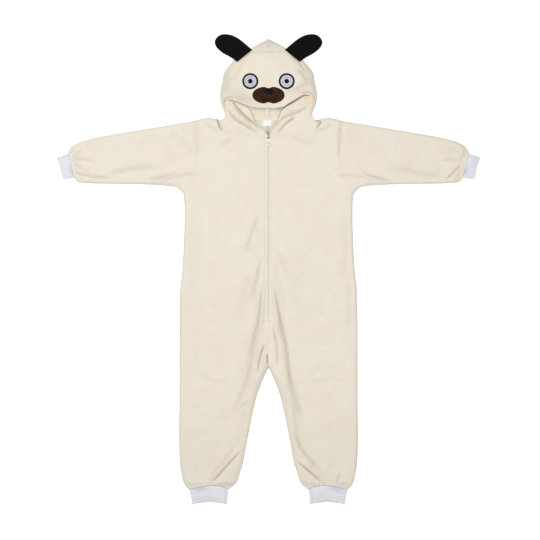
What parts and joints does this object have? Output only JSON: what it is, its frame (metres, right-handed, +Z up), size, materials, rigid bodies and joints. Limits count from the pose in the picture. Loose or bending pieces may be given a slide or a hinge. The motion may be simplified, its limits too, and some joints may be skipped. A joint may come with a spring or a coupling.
{
  "type": "pug onesie",
  "caption": "Hooded child's onesie in cream fleece with a pug face on the hood, ribbed cuffs and a front zip, laid out flat on its back.",
  "frame": {"origin": "on the surface the garment lies on, under the middle of its outline", "axes": "+Y from the ankles to the hood, +Z up off the surface, +X to the right of someone looking down at the front"},
  "size_m": [1.396, 1.5506, 0.0332],
  "materials": {
    "fleece": "soft cream fleece, matt, short nap",
    "rib_knit": "pale grey-white rib knit, matt",
    "black_plush": "black short-pile plush",
    "black_felt": "black felt",
    "pale_felt": "pale blue-grey felt",
    "brown_fleece": "dark brown fleece",
    "zip_tape": "woven cream tape",
    "zip_chain": "cream nylon coil",
    "zip_metal": "off-white enamel",
    "label": "blank white satin label"
  },
  "bodies": {
    "garment": {"front_left": "fleece", "back_left": "fleece", "sleeve_left": "fleece", "cuff_wrist_left": "rib_knit", "cuff_ankle_left": "rib_knit", "hood_side_left": "fleece", "ear_left": "black_plush", "eye_rim_left": "black_felt", "eye_white_left": "pale_felt", "eye_pupil_left": "black_felt", "zip_tape_left": "zip_tape", "front_right": "fleece", "back_right": "fleece", "sleeve_right": "fleece", "cuff_wrist_right": "rib_knit", "cuff_ankle_right": "rib_knit", "hood_side_right": "fleece", "ear_right": "black_plush", "eye_rim_right": "black_felt", "eye_white_right": "pale_felt", "eye_pupil_right": "black_felt", "zip_tape_right": "zip_tape", "hood_face": "fleece", "muzzle": "brown_fleece", "nose": "black_felt", "mouth": "black_felt", "zip_chain": "zip_chain", "zip_slider": "zip_metal", "label": "label"},
    "pull_tab": {"zip_pull": "zip_metal"}
  },
  "joints": [
    {"name": "pull_flip", "type": "hinge", "parent": "garment", "child": "pull_tab", "pos_m": [0, 0.425, 0.0092], "axis": [-1, 0, 0], "range_deg": [0, 150]}
  ]
}
